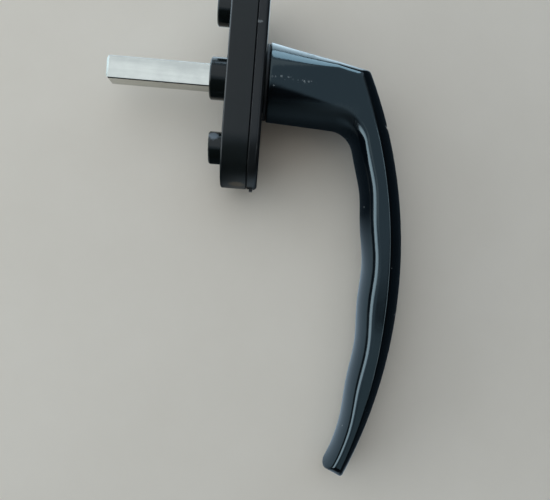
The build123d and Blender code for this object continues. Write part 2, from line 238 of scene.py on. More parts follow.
def wrapped(
    front0, height0, lean, reach_in, reach_out, half, round_in, round_out, inset, crease
):
    """Points round each slice, drawn in to the crowned outer arc: across it and along it."""
    tilt = np.radians(lean)
    low = np.linspace(np.pi, 2 * np.pi, ROUND_POINTS)[:-1]
    up = np.linspace(0, 1, SIDE_POINTS)[:-1]
    high = np.linspace(0, np.pi, ROUND_POINTS)[:-1]
    flat = np.ones_like(up)
    across = np.concatenate([np.cos(low), flat, np.cos(high), -flat])
    climb = np.concatenate([0 * low, up, 1 + 0 * high, 1 - up])
    dip = np.concatenate([np.sin(low), 0 * up, 0 * high, 0 * up])
    bulge = np.concatenate([0 * low, 0 * up, np.sin(high), 0 * up])
    x = half * across
    y = mix(reach_in + round_in, reach_out - round_out, climb)
    y = y + round_in * dip + round_out * bulge

    def outside_crown(px, py):
        front = front0 + py * np.cos(tilt) - ARC_FRONT
        height = height0 + py * np.sin(tilt) - ARC_HEIGHT
        return np.hypot(np.maximum(np.hypot(front, height) - SHOULDER, 0), px) - CROWN

    def reach_to_crown(px, py, dx, dy):
        near = np.zeros_like(dx)
        far = np.full_like(dx, CROWN_REACH)
        for _ in range(CROWN_HALVINGS):
            middle = (near + far) / 2
            out = outside_crown(px + middle * dx, py + middle * dy) > 0
            far = np.where(out, middle, far)
            near = np.where(out, near, middle)
        return (near + far) / 2

    inner = reach_in + CROWN_START
    spine = inner + reach_to_crown(0 * inner, inner, 0 * inner, 0 * inner + 1)
    middle_y = (reach_in + np.minimum(reach_out, spine)) / 2
    dx, dy = x, y - middle_y
    own = np.hypot(dx, dy)
    dx, dy = dx / own, dy / own
    crown = reach_to_crown(0 * dx, middle_y + 0 * dy, dx, dy)
    share = np.clip(0.5 + 0.5 * (crown - own) / crease, 0, 1)
    reach = mix(crown, own, share) - crease * share * (1 - share) - inset
    return reach * dx, middle_y + reach * dy


def dome_lean(x):
    """How much sooner the domed tip ends away from the middle of its width, as an angle."""
    return np.degrees((DOME_RADIUS - np.sqrt(DOME_RADIUS**2 - x**2)) / ARC_RADIUS)


def placed(x, y, front, height, lean):
    """Points of the part's frame from places across and along leaning slices."""
    tilt = np.radians(lean)
    return np.stack([x, -(front + y * np.cos(tilt)), height + y * np.sin(tilt)], axis=2)


def lever_surface():
    """Grid of points over the lever, ring by ring, from the neck's back edge to the tip."""
    slices = stations()
    front0, height0, lean, reach_in, reach_out, half, round_in, round_out, inset, crease = slices
    across, _ = wrapped(*slices)
    near_tip = np.clip((DOME_SPAN - TIP_ANGLE - lean) / DOME_SPAN, 0, 1)
    near_tip = near_tip**2 * (3 - 2 * near_tip)
    on_grip = front0 == ARC_FRONT
    fall = near_tip * dome_lean(np.clip(across, -DOME_LIMIT, DOME_LIMIT))
    lean = lean + np.where(on_grip, fall, 0)
    domed = zip(grip_sizes(lean), (reach_in, half, round_in))
    reach_in, half, round_in = [np.where(on_grip, new, old) for new, old in domed]
    px, py = wrapped(
        front0, height0, lean, reach_in, reach_out, half, round_in, round_out, inset, crease
    )
    grid = placed(px, py, front0, height0, lean)
    chip_x = (grid[:, :, 0] - CHIP_X) / CHIP_SPREAD_X
    chip_z = (grid[:, :, 2] - CHIP_Z) / CHIP_SPREAD_Z
    dent = CHIP_DEPTH * np.exp(-(np.hypot(chip_x, chip_z) ** 2))
    grid[:, :, 1] += dent * (grid[:, :, 1] < CHIP_BACK)
    end_x, end_y = px[-1:], py[-1:]
    middle_y = (end_y.min() + end_y.max()) / 2
    rings = []
    for share in TIP_RINGS:
        x, y = end_x * share, mix(middle_y, end_y, share)
        rings.append(placed(x, y, ARC_FRONT, ARC_HEIGHT, -TIP_ANGLE + dome_lean(x)))
    return np.concatenate([grid, *rings])


def grid_mesh(name, grid, back_hole, extra):
    """Closed quad mesh over a grid of rings, with a flat ring round the hub at the back."""
    count, around, _ = grid.shape
    points = [tuple(p) for p in grid.reshape(-1, 3) * MM]
    first = len(points)
    for p in grid[0]:
        shrink = back_hole / np.hypot(p[0], p[2])
        points.append((p[0] * shrink * MM, p[1] * MM, p[2] * shrink * MM))
    points.append(tuple(grid[-1].mean(axis=0) * MM))
    faces = []
    for i in range(count - 1):
        here, there = i * around, (i + 1) * around
        for j in range(around):
            k = (j + 1) % around
            faces.append((here + j, here + k, there + k, there + j))
    last = (count - 1) * around
    for j in range(around):
        k = (j + 1) % around
        faces.append((first + j, first + k, k, j))
        faces.append((last + j, last + k, first + around))
    mesh = bpy.data.meshes.new(name)
    mesh.from_pydata(points, [], faces)
    shape = bmesh.new()
    shape.from_mesh(mesh)
    bmesh.ops.recalc_face_normals(shape, faces=shape.faces)
    shape.from_mesh(extra)
    shape.to_mesh(mesh)
    shape.free()
    return mesh


# Copies of CAD nodes, and pieces that stand for them

def merged(node):
    """Copy of a CAD node's mesh with its loose triangles joined up."""
    shape = bmesh.new()
    shape.from_mesh(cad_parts[node].data)
    bmesh.ops.remove_doubles(shape, verts=shape.verts, dist=SAME_POINT)
    return shape


def as_mesh(name, shape):
    """Mesh of a worked shape, without the normals that the CAD mesh brought along."""
    mesh = bpy.data.meshes.new(name)
    shape.to_mesh(mesh)
    shape.free()
    if "custom_normal" in mesh.attributes:
        mesh.attributes.remove(mesh.attributes["custom_normal"])
    return mesh


def hub_of_lever():
    """Turned hub and square socket, as the solid has them behind the neck."""
    shape = merged("lever")
    gone = []
    for face in shape.faces:
        middle = face.calc_center_median() / MM
        reach = max(v.co.xz.length for v in face.verts) / MM
        if reach > HUB_D / 2 + HUB_SLACK or middle.y < -SOCKET_FRONT:
            gone.append(face)
    bmesh.ops.delete(shape, geom=gone, context="FACES")
    return as_mesh("hub", shape)


def worn_base():
    """Base plate with the end of its lower boss worn down at a slant."""
    shape = merged("base_plate")
    for v in shape.verts:
        x, y, z = v.co / MM
        if y > BOSS_END and np.hypot(x, z - BOSS_Z) < BOSS_R:
            share = 0.5 - 0.5 * (z - BOSS_Z) / BOSS_R
            ragged = BOSS_RAGGED * np.sin(RAGGED_ACROSS * x) * np.cos(RAGGED_UP * z)
            v.co.y -= (BOSS_SLANT * share + abs(ragged)) * MM
    return as_mesh("base_plate_finish", shape)


def even_shading(obj):
    """Normals that follow the large faces, so that flat faces beside fillets stay flat."""
    weighted = obj.modifiers.new("weighted", "WEIGHTED_NORMAL")
    weighted.keep_sharp = True
    ready = obj.evaluated_get(bpy.context.evaluated_depsgraph_get())
    finished = bpy.data.meshes.new_from_object(ready)
    obj.modifiers.remove(weighted)
    obj.data = finished


def piece(mesh, body, material, node, smooth=SHARP):
    """Finished piece that stands for a CAD node and moves with its body."""
    mesh.materials.clear()
    mesh.materials.append(material)
    mesh.polygons.foreach_set("material_index", [0] * len(mesh.polygons))
    mesh.shade_smooth()
    mesh.set_sharp_from_angle(angle=radians(smooth))
    obj = bpy.data.objects.new(node + "_finish", mesh)
    scene.collection.objects.link(obj)
    even_shading(obj)
    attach(obj, body)
    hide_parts(node)
    return obj


def smooth_copy(node, body, material):
    """Piece with the CAD node's own form and smooth curved faces."""
    return piece(as_mesh(node + "_finish", merged(node)), body, material, node)


# Node trees

def feed(tree, socket, value):
    """Link a socket to an output, or set it to a constant; colours come as red, green, blue."""
    if isinstance(value, bpy.types.NodeSocket):
        tree.links.new(value, socket)
    elif socket.type == "RGBA":
        socket.default_value = (*value, 1)
    else:
        socket.default_value = value


def new_node(tree, kind, settings, inputs):
    node = tree.nodes.new(kind)
    for name, value in (settings or {}).items():
        setattr(node, name, value)
    for name, value in inputs.items():
        feed(tree, node.inputs[name.replace("_", " ")], value)
    return node


def add(tree, kind, settings=None, **inputs):
    return new_node(tree, "ShaderNode" + kind, settings, inputs)


def maths(tree, operation, *values):
    node = add(tree, "Math", {"operation": operation})
    for socket, value in zip(node.inputs, values):
        feed(tree, socket, value)
    return node.outputs[0]


def vector_maths(tree, operation, *values):
    node = add(tree, "VectorMath", {"operation": operation})
    for socket, value in zip(node.inputs, values):
        feed(tree, socket, value)
    return node.outputs["Value" if operation in ("LENGTH", "DOT_PRODUCT") else "Vector"]


def ranged(tree, value, low, high, to_low=0.0, to_high=1.0, curve="LINEAR"):
    node = add(
        tree, "MapRange", {"interpolation_type": curve},
        Value=value, From_Min=low, From_Max=high, To_Min=to_low, To_Max=to_high,
    )
    return node.outputs["Result"]


def blended(tree, share, first, second):
    """Mix of two colours, by the colour sockets of a Mix node: factor, A, B and result."""
    node = add(tree, "Mix", {"data_type": "RGBA"})
    feed(tree, node.inputs[0], share)
    feed(tree, node.inputs[6], first)
    feed(tree, node.inputs[7], second)
    return node.outputs[2]


# Screws with cross recesses, by Geometry Nodes

def cross_screw_tree(material, sizes):
    """Four countersunk screws at the corners of a rectangle, heads towards the user."""
    tree = bpy.data.node_groups.new("cross_screws", "GeometryNodeTree")
    tree.interface.new_socket("Geometry", in_out="INPUT", socket_type="NodeSocketGeometry")
    for name in sizes:
        tree.interface.new_socket(name, in_out="INPUT", socket_type="NodeSocketFloat")
    tree.interface.new_socket("Geometry", in_out="OUTPUT", socket_type="NodeSocketGeometry")
    start = tree.nodes.new("NodeGroupInput").outputs
    end = tree.nodes.new("NodeGroupOutput").inputs

    def form(kind, settings=None, **inputs):
        return new_node(tree, "GeometryNode" + kind, settings, inputs).outputs[0]

    def vector(x, y, z):
        return add(tree, "CombineXYZ", X=x, Y=y, Z=z).outputs[0]

    def joined(parts):
        node = tree.nodes.new("GeometryNodeJoinGeometry")
        for part in parts:
            feed(tree, node.inputs["Geometry"], part)
        return node.outputs[0]

    def times(size, factor):
        return maths(tree, "MULTIPLY", size, factor)

    head_r = times(start["Head Diameter"], 0.5)
    shank_r = times(start["Shank Diameter"], 0.5)
    head_height = maths(tree, "SUBTRACT", head_r, shank_r)
    shank_length = maths(tree, "SUBTRACT", start["Length"], head_height)
    head = form(
        "MeshCone",
        Vertices=HEAD_SIDES, Radius_Top=head_r, Radius_Bottom=shank_r, Depth=head_height,
    )
    head_shift = vector(0.0, 0.0, times(head_height, -1.0))
    head = form("Transform", Geometry=head, Translation=head_shift)
    shank = form("MeshCylinder", Vertices=SHANK_SIDES, Radius=shank_r, Depth=shank_length)
    shank_middle = times(maths(tree, "ADD", times(head_height, 2.0), shank_length), -0.5)
    shank = form("Transform", Geometry=shank, Translation=vector(0.0, 0.0, shank_middle))
    long, wide = start["Recess Length"], start["Recess Width"]
    deep = times(start["Recess Depth"], 2.0)
    arms = (vector(long, wide, deep), vector(wide, long, deep))
    recess = joined([form("MeshCube", Size=arm) for arm in arms])
    head = form("MeshBoolean", {"operation": "DIFFERENCE"}, Mesh_1=head, Mesh_2=recess)
    corners = form(
        "MeshGrid",
        Size_X=start["Across"], Size_Y=start["Along"], Vertices_X=2, Vertices_Y=2,
    )
    screws = form("InstanceOnPoints", Points=corners, Instance=joined([head, shank]))
    screws = form(
        "Transform",
        Geometry=screws,
        Translation=vector(0.0, times(start["Front"], -1.0), 0.0),
        Rotation=(radians(90), 0, 0),
    )
    screws = form("RealizeInstances", Geometry=screws)
    screws = form("SetMaterial", Geometry=screws, Material=material)
    feed(tree, end["Geometry"], screws)
    return tree


def cross_screws(material):
    low, high = (np.array(c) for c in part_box("retaining_screws"))
    sizes = {
        "Head Diameter": SCREW_HEAD_D * MM,
        "Shank Diameter": SCREW_SHANK_D * MM,
        "Length": SCREW_LENGTH * MM,
        "Across": high[0] - low[0] - SCREW_HEAD_D * MM,
        "Along": high[2] - low[2] - SCREW_HEAD_D * MM,
        "Front": -low[1],
        "Recess Width": RECESS_WIDTH * MM,
        "Recess Length": RECESS_LENGTH * MM,
        "Recess Depth": RECESS_DEPTH * MM,
    }
    tree = cross_screw_tree(material, sizes)
    maker = bpy.data.objects.new("screw_maker", bpy.data.meshes.new("screw_maker"))
    scene.collection.objects.link(maker)
    nodes = maker.modifiers.new("cross_screws", "NODES")
    nodes.node_group = tree
    for item in tree.interface.items_tree:
        if item.in_out == "INPUT" and item.name in sizes:
            nodes[item.identifier] = float(sizes[item.name])
    ready = maker.evaluated_get(bpy.context.evaluated_depsgraph_get())
    mesh = bpy.data.meshes.new_from_object(ready)
    maker.modifiers.remove(nodes)
    bpy.data.objects.remove(maker)
    return mesh


# Shared effects, as node groups

# Dust lies in patches: where the noise starts and ends one, and the share of specks kept there
PATCH_SCALE = 90.0
PATCH_RANGE = (0.42, 0.62)
PATCH_SHARE = (0.15, 1.6)
# Part of the noise that spans a mark from its low to its high value
CLOUD_RANGE = (0.3, 0.7)
# Finer noise in the grain: how much finer and how strong
FINE_FACTOR = 3.7
FINE_SHARE = 0.3
# Broad tone under drawn lines: how much broader, the lines' share and the range of the sum
BROAD_FACTOR = 0.22
LINE_SHARE = 0.4
TONE_RANGE = (0.5, 0.9)


def effect(name, inputs, outputs):
    """Empty shader node group: inputs and outputs are socket names, a Vector first."""
    group = bpy.data.node_groups.new(name, "ShaderNodeTree")
    group.interface.new_socket("Vector", in_out="INPUT", socket_type="NodeSocketVector")
    for socket in inputs:
        group.interface.new_socket(socket, in_out="INPUT", socket_type="NodeSocketFloat")
    for socket in outputs:
        group.interface.new_socket(socket, in_out="OUTPUT", socket_type="NodeSocketFloat")
    start = group.nodes.new("NodeGroupInput").outputs
    end = group.nodes.new("NodeGroupOutput").inputs
    return group, start, end


def noise(tree, vector, scale, **settings):
    return add(tree, "TexNoise", Vector=vector, Scale=scale, **settings).outputs


def dust_effect():
    """Sparse specks of settled dust."""
    group, start, end = effect("settled_dust", ("Spacing", "Size", "Share"), ("Mask",))
    place = start["Vector"]
    wander = noise(group, place, PATCH_SCALE, Detail=1.0)["Fac"]
    cells = add(group, "TexVoronoi", Vector=place, Scale=start["Spacing"], Randomness=1.0).outputs
    pick = add(group, "SeparateColor", Color=cells["Color"]).outputs
    size = maths(group, "MULTIPLY", start["Size"], pick["Green"])
    speck = maths(group, "LESS_THAN", cells["Distance"], size)
    patch = ranged(group, wander, *PATCH_RANGE, *PATCH_SHARE)
    kept = maths(group, "LESS_THAN", pick["Red"], maths(group, "MULTIPLY", start["Share"], patch))
    feed(group, end["Mask"], maths(group, "MULTIPLY", speck, kept))
    return group


def marks_effect():
    """Cloudy handling marks that change the gloss."""
    group, start, end = effect("handling_marks", ("Scale", "Low", "High"), ("Value",))
    cloud = noise(group, start["Vector"], start["Scale"], Detail=5.0, Roughness=0.62)["Fac"]
    feed(group, end["Value"], ranged(group, cloud, *CLOUD_RANGE, start["Low"], start["High"]))
    return group


def grain_effect():
    """Fine even grain of a moulded or sprayed surface."""
    group, start, end = effect("fine_grain", ("Scale",), ("Height",))
    place, scale = start["Vector"], start["Scale"]
    coarse = noise(group, place, scale, Detail=2.0, Roughness=0.5)["Fac"]
    fine_scale = maths(group, "MULTIPLY", scale, FINE_FACTOR)
    fine = noise(group, place, fine_scale, Detail=1.0, Roughness=0.5)["Fac"]
    feed(group, end["Height"], maths(group, "MULTIPLY_ADD", fine, FINE_SHARE, coarse))
    return group


def lines_effect():
    """Lines that drawing or rolling leaves in metal; the stretch comes with the vector."""
    group, start, end = effect("drawn_lines", ("Scale",), ("Height", "Tone"))
    place, scale = start["Vector"], start["Scale"]
    drawn = noise(group, place, scale, Detail=4.0, Roughness=0.6)["Fac"]
    broad = noise(group, place, maths(group, "MULTIPLY", scale, BROAD_FACTOR), Detail=2.0)["Fac"]
    feed(group, end["Height"], drawn)
    tone = maths(group, "MULTIPLY_ADD", drawn, LINE_SHARE, broad)
    feed(group, end["Tone"], ranged(group, tone, *TONE_RANGE))
    return group


dust = dust_effect()
marks = marks_effect()
grain = grain_effect()
lines = lines_effect()


# Materials

# A spot's rim wanders by this much in millimetres, at this scale of noise
RIM_WANDER = 0.7
RIM_SCALE = 1900.0


def use(tree, group, vector, **values):
    node = add(tree, "Group", {"node_tree": group}, Vector=vector)
    for name, value in values.items():
        feed(tree, node.inputs[name], value)
    return node.outputs


def new_material(name):
    mat = bpy.data.materials.new(name)
    mat.use_nodes = True
    tree = mat.node_tree
    place = add(tree, "TexCoord").outputs["Object"]
    return mat, tree, tree.nodes["Principled BSDF"], place


def spot(tree, place, centre, spread, edge=0.35):
    """Mask of a small spot at a place on the piece, with a ragged rim."""
    rim = RIM_WANDER * MM
    ragged = noise(tree, place, RIM_SCALE, Detail=2.0)["Color"]
    shifted = vector_maths(tree, "MULTIPLY_ADD", ragged, (rim, rim, rim), place)
    away = vector_maths(tree, "SUBTRACT", shifted, [c * MM + rim / 2 for c in centre])
    scaled = vector_maths(tree, "DIVIDE", away, [s * MM for s in spread])
    return ranged(tree, vector_maths(tree, "LENGTH", scaled), 1.0, 1.0 - edge)


def bump(tree, bsdf, height, distance, strength=1.0):
    node = add(tree, "Bump", Height=height, Distance=distance, Strength=strength)
    feed(tree, bsdf.inputs["Normal"], node.outputs["Normal"])


LACQUER_DARK = (0.0012, 0.0024, 0.0038)
LACQUER_PALE = (0.0022, 0.0040, 0.0060)
LACQUER_SHEEN = (0.74, 0.95, 1.0)
LACQUER_SHINE = 0.56
PEEL_DEPTH = 0.000022
# Dust lying on the neck in millimetres, as centre, spread and share, and single specks
DUSTY_PLACES = (
    ((-10.8, -16.0, -1.2), (2.5, 4.5, 1.1), 0.75),
    ((-10.4, -23.0, -1.8), (2.5, 4.0, 0.9), 0.50),
    ((-7.6, -25.0, 6.6), (3.0, 9.0, 1.3), 0.35),
)
SPECKS = ((-9.2, -35.9, 2.2), (-9.4, -37.5, -14.3), (-8.2, -42.2, -38.4), (-9.6, -46.2, -52.0))
SPECK_SPREAD = (0.45, 0.35, 0.45)
DUST_COLOUR = (0.34, 0.36, 0.36)
DUST_EDGE = 0.8
DUST_COVER = 0.5
DUST_DULL = 0.4
# Scuffed top of the neck in millimetres, as centre and spread
SCUFFED_PLACE = ((-7.5, -24.0, 7.5), (6.0, 12.0, 4.5))
SCUFFED_EDGE = 0.9
# Lowest part of the neck in metres, up and forwards, made duller to quiet a reflection
UNDERSIDE = (-0.0065, -0.0095)
UNDERSIDE_END = (-0.041, -0.033)
UNDERSIDE_DULL = 0.45
# Bare metal in the chip
CHIP_COLOUR = (0.66, 0.66, 0.64)
CHIP_COVER = 0.9
CHIP_DULL = 0.3


def lacquer_finish():
    """Gloss black lacquer: slight orange peel, handling marks, a little dust and one chip."""
    mat, tree, bsdf, place = new_material("lacquer_black")
    specks = use(tree, dust, place, Spacing=520.0, Size=0.16, Share=0.10)["Mask"]
    for centre, spread, share in DUSTY_PLACES:
        thick = use(tree, dust, place, Spacing=1500.0, Size=0.62, Share=share)["Mask"]
        thick = maths(tree, "MULTIPLY", thick, spot(tree, place, centre, spread, DUST_EDGE))
        specks = maths(tree, "MAXIMUM", specks, thick)
    for centre in SPECKS:
        specks = maths(tree, "MAXIMUM", specks, spot(tree, place, centre, SPECK_SPREAD))
    chip = spot(tree, place, (CHIP_X, CHIP_Y, CHIP_Z), CHIP_BARE)
    tone = use(tree, marks, place, Scale=34.0, Low=0.0, High=1.0)["Value"]
    colour = blended(tree, tone, LACQUER_DARK, LACQUER_PALE)
    colour = blended(tree, maths(tree, "MULTIPLY", specks, DUST_COVER), colour, DUST_COLOUR)
    colour = blended(tree, maths(tree, "MULTIPLY", chip, CHIP_COVER), colour, CHIP_COLOUR)
    feed(tree, bsdf.inputs["Base Color"], colour)
    axes = add(tree, "SeparateXYZ", Vector=place).outputs
    low = ranged(tree, axes["Z"], *UNDERSIDE)
    under = maths(tree, "MULTIPLY", low, ranged(tree, axes["Y"], *UNDERSIDE_END))
    blotches = use(tree, marks, place, Scale=520.0, Low=-0.12, High=0.34)["Value"]
    blotches = maths(tree, "MAXIMUM", blotches, 0.0)
    scuffed = spot(tree, place, *SCUFFED_PLACE, SCUFFED_EDGE)
    rough = use(tree, marks, place, Scale=70.0, Low=0.07, High=0.17)["Value"]
    for mask, amount in (
        (specks, DUST_DULL),
        (under, UNDERSIDE_DULL),
        (scuffed, blotches),
        (chip, CHIP_DULL),
    ):
        rough = maths(tree, "MULTIPLY_ADD", mask, amount, rough)
    feed(tree, bsdf.inputs["Roughness"], rough)
    feed(tree, bsdf.inputs["Specular Tint"], LACQUER_SHEEN)
    feed(tree, bsdf.inputs["Specular IOR Level"], LACQUER_SHINE)
    bump(tree, bsdf, use(tree, grain, place, Scale=330.0)["Height"], PEEL_DEPTH)
    return mat


MOULDED_SHINE = 0.30
MOULDED_GRAIN = 0.00002
MOULDED_DUST = (0.30, 0.31, 0.31)
MOULDED_DUST_COVER = 0.4
SCUFF_DULL = 0.25
# Bosses and collar behind the plate are smoother than it: start and end of the change in metres
SMOOTH_BACK = (0.0002, 0.0008)
SMOOTH_SHARE = 0.17


def moulded_finish(name, dark, pale, gloss, scuffs_and_painted_light=(), smooth_back=False):
    """Satin moulded plastic: fine grain, cloudy sheen, scuffed places and painted light spots."""
    mat, tree, bsdf, place = new_material(name)
    tone = use(tree, marks, place, Scale=55.0, Low=0.0, High=1.0)["Value"]
    colour = blended(tree, tone, dark, pale)
    specks = use(tree, dust, place, Spacing=480.0, Size=0.15, Share=0.06)["Mask"]
    dusty = maths(tree, "MULTIPLY", specks, MOULDED_DUST_COVER)
    colour = blended(tree, dusty, colour, MOULDED_DUST)
    rough = use(tree, marks, place, Scale=120.0, Low=gloss[0], High=gloss[1])["Value"]
    # Spots of wear, and spots tinted as a painted highlight or a painted reflection
    for centre, spread, scuff_and_painted_light_colour, share in scuffs_and_painted_light:
        scuff_and_painted_light_mask = maths(tree, "MULTIPLY", spot(tree, place, centre, spread), share)
        colour = blended(tree, scuff_and_painted_light_mask, colour, scuff_and_painted_light_colour)
        rough = maths(tree, "MULTIPLY_ADD", scuff_and_painted_light_mask, SCUFF_DULL, rough)
    if smooth_back:
        depth = add(tree, "SeparateXYZ", Vector=place).outputs["Y"]
        polish = ranged(tree, depth, *SMOOTH_BACK, 0.0, SMOOTH_SHARE)
        rough = maths(tree, "SUBTRACT", rough, polish)
    feed(tree, bsdf.inputs["Base Color"], colour)
    feed(tree, bsdf.inputs["Roughness"], rough)
    feed(tree, bsdf.inputs["Specular IOR Level"], MOULDED_SHINE)
    height = use(tree, grain, place, Scale=1500.0)["Height"]
    bump(tree, bsdf, height, MOULDED_GRAIN, strength=0.7)
    return mat


def metal_finish(name, dark, pale, gloss, stretch, scale, depth):
    """Bare or plated metal with drawn lines along the stretched axis and a cloudy sheen."""
    mat, tree, bsdf, place = new_material(name)
    stretched = add(tree, "Mapping", Vector=place, Scale=stretch).outputs["Vector"]
    drawn = use(tree, lines, stretched, Scale=scale)
    cloud = use(tree, marks, place, Scale=160.0, Low=-0.35, High=0.35)["Value"]
    tone = maths(tree, "ADD", drawn["Tone"], cloud)
    feed(tree, bsdf.inputs["Base Color"], blended(tree, tone, dark, pale))
    rough = use(tree, marks, place, Scale=90.0, Low=gloss[0], High=gloss[1])["Value"]
    feed(tree, bsdf.inputs["Roughness"], rough)
    feed(tree, bsdf.inputs["Metallic"], 1.0)
    bump(tree, bsdf, drawn["Height"], depth)
    return mat


# Scuffs and painted light in millimetres, as centre, spread, colour and share: on the lower boss
# and the plate's end
BASE_SCUFFS_AND_PAINTED_LIGHT = (
    ((0, 4.4, BOSS_Z - 2.5), (5.4, 0.9, 4.2), (0.085, 0.085, 0.08), 0.7),
    # Worn spot on the lower boss's top, tinted bluish as a painted highlight
    ((-3.4, 3.0, BOSS_Z + 2.6), (1.8, 1.9, 2.0), (0.22, 0.26, 0.30), 0.6),
    # Painted reflection: warm streak of the lit sheet on the plate's lower end
    ((-5.4, -5.2, -33.0), (3.0, 3.2, 0.9), (0.15, 0.12, 0.08), 0.7),
)
COVER_SCUFFS = (((-15.0, -8.6, 13.2), (1.2, 1.0, 0.45), (0.16, 0.17, 0.17), 0.75),)

lacquer = lacquer_finish()
moulding = moulded_finish(
    "moulding_black",
    dark=(0.0028, 0.0048, 0.0048), pale=(0.0058, 0.0088, 0.0088), gloss=(0.28, 0.38),
    scuffs_and_painted_light=BASE_SCUFFS_AND_PAINTED_LIGHT, smooth_back=True,
)
cover_moulding = moulded_finish(
    "cover_black",
    dark=(0.0060, 0.0072, 0.0075), pale=(0.0100, 0.0115, 0.0120), gloss=(0.28, 0.38),
    scuffs_and_painted_light=COVER_SCUFFS,
)
bush_plastic = moulded_finish(
    "bush_black",
    dark=(0.007, 0.007, 0.007), pale=(0.012, 0.012, 0.012), gloss=(0.45, 0.6),
)
zinc = metal_finish(
    "zinc_steel",
    dark=(0.44, 0.445, 0.41), pale=(0.57, 0.57, 0.52), gloss=(0.16, 0.24),
    stretch=(1, 0.06, 1), scale=900.0, depth=0.000012,
)
steel = metal_finish(
    "plain_steel",
    dark=(0.36, 0.36, 0.36), pale=(0.55, 0.55, 0.54), gloss=(0.28, 0.42),
    stretch=(1, 1, 0.08), scale=1100.0, depth=0.00001,
)
spring_steel = metal_finish(
    "spring_steel",
    dark=(0.16, 0.17, 0.20), pale=(0.30, 0.31, 0.34), gloss=(0.25, 0.38),
    stretch=(1, 1, 0.06), scale=1300.0, depth=0.000008,
)

# Pieces

lever_mesh = grid_mesh("lever_finish", lever_surface(), HUB_D / 2, hub_of_lever())
piece(lever_mesh, "lever", lacquer, "lever", smooth=LEVER_SHARP)
piece(worn_base(), "base", moulding, "base_plate")
piece(cross_screws(zinc), "base", zinc, "retaining_screws")
smooth_copy("cover_plate", "cover", cover_moulding)
smooth_copy("guide_bush", "lever", bush_plastic)
smooth_copy("spindle", "lever", zinc)
smooth_copy("spindle_pin", "lever", steel)
smooth_copy("retaining_plate", "base", steel)
smooth_copy("detent_cam", "lever", steel)
smooth_copy("cam_washer", "lever", steel)
smooth_copy("circlip", "lever", spring_steel)
smooth_copy("detent_spring_left", "base", spring_steel)
smooth_copy("detent_spring_right", "base", spring_steel)

# Pale sheet, seen from above only; the plate's end and the tip rest on it, in X and Z
PLATE_REST = (0.0152, -0.0185)
TIP_REST = (0.0081, -0.1170)
SHEET_LOW = -1.2
SHEET_HIGH = 0.9
SHEET_SIDE = 1.2
SHEET_DARK = (0.725, 0.655, 0.560)
SHEET_PALE = (0.755, 0.685, 0.590)
SHEET_ROUGH = 0.85
SHEET_SHINE = 0.2
SHEET_FIBRE = 0.00002

# Painted reflections and painted shade that glossy rays see on the sheet, in metres: where a zone
# begins and where it is full
# Painted glare, a glowing bright far end above the handle, in Z and Y
PAINTED_GLARE_UP = (0.014, 0.034)
PAINTED_GLARE_SIDE = (-0.060, -0.042)
PAINTED_GLARE_COLOUR = (0.66, 0.86, 1.0)
PAINTED_GLARE_STRENGTH = 2.6
# Painted shade under the neck, between a low and a high Z
PAINTED_NECK_SHADE_LOW = (-0.056, -0.038)
PAINTED_NECK_SHADE_TOP = (0.012, 0.0)
# Painted shade below the tip in Z, and beyond the grip in Y
PAINTED_FAR_SHADE = (-0.110, -0.145)
PAINTED_GRIP_SHADE = (-0.046, -0.056)
# Painted shade left of the plate in Y, below the spindle in Z
PAINTED_LEFT_SHADE = (-0.008, 0.002)
PAINTED_SHADE_BELOW_SPINDLE = (-0.017, -0.025)
# Zone on the user's side of the plate where glossy rays see painted reflection and painted shade,
# and the paler painted reflection away from the grip, in Y
PAINTED_ZONE_HANDLE_SIDE = (0.0, -0.012)
PAINTED_REFLECTION_GRIP_NEAR = (-0.038, 0.0)
PAINTED_REFLECTION_NEAR_COLOUR = (0.34, 0.45, 0.55)
PAINTED_REFLECTION_AWAY_COLOUR = (0.62, 0.84, 1.0)
# Colour of the painted shade
PAINTED_SHADE_COLOUR = (0.02, 0.03, 0.04)


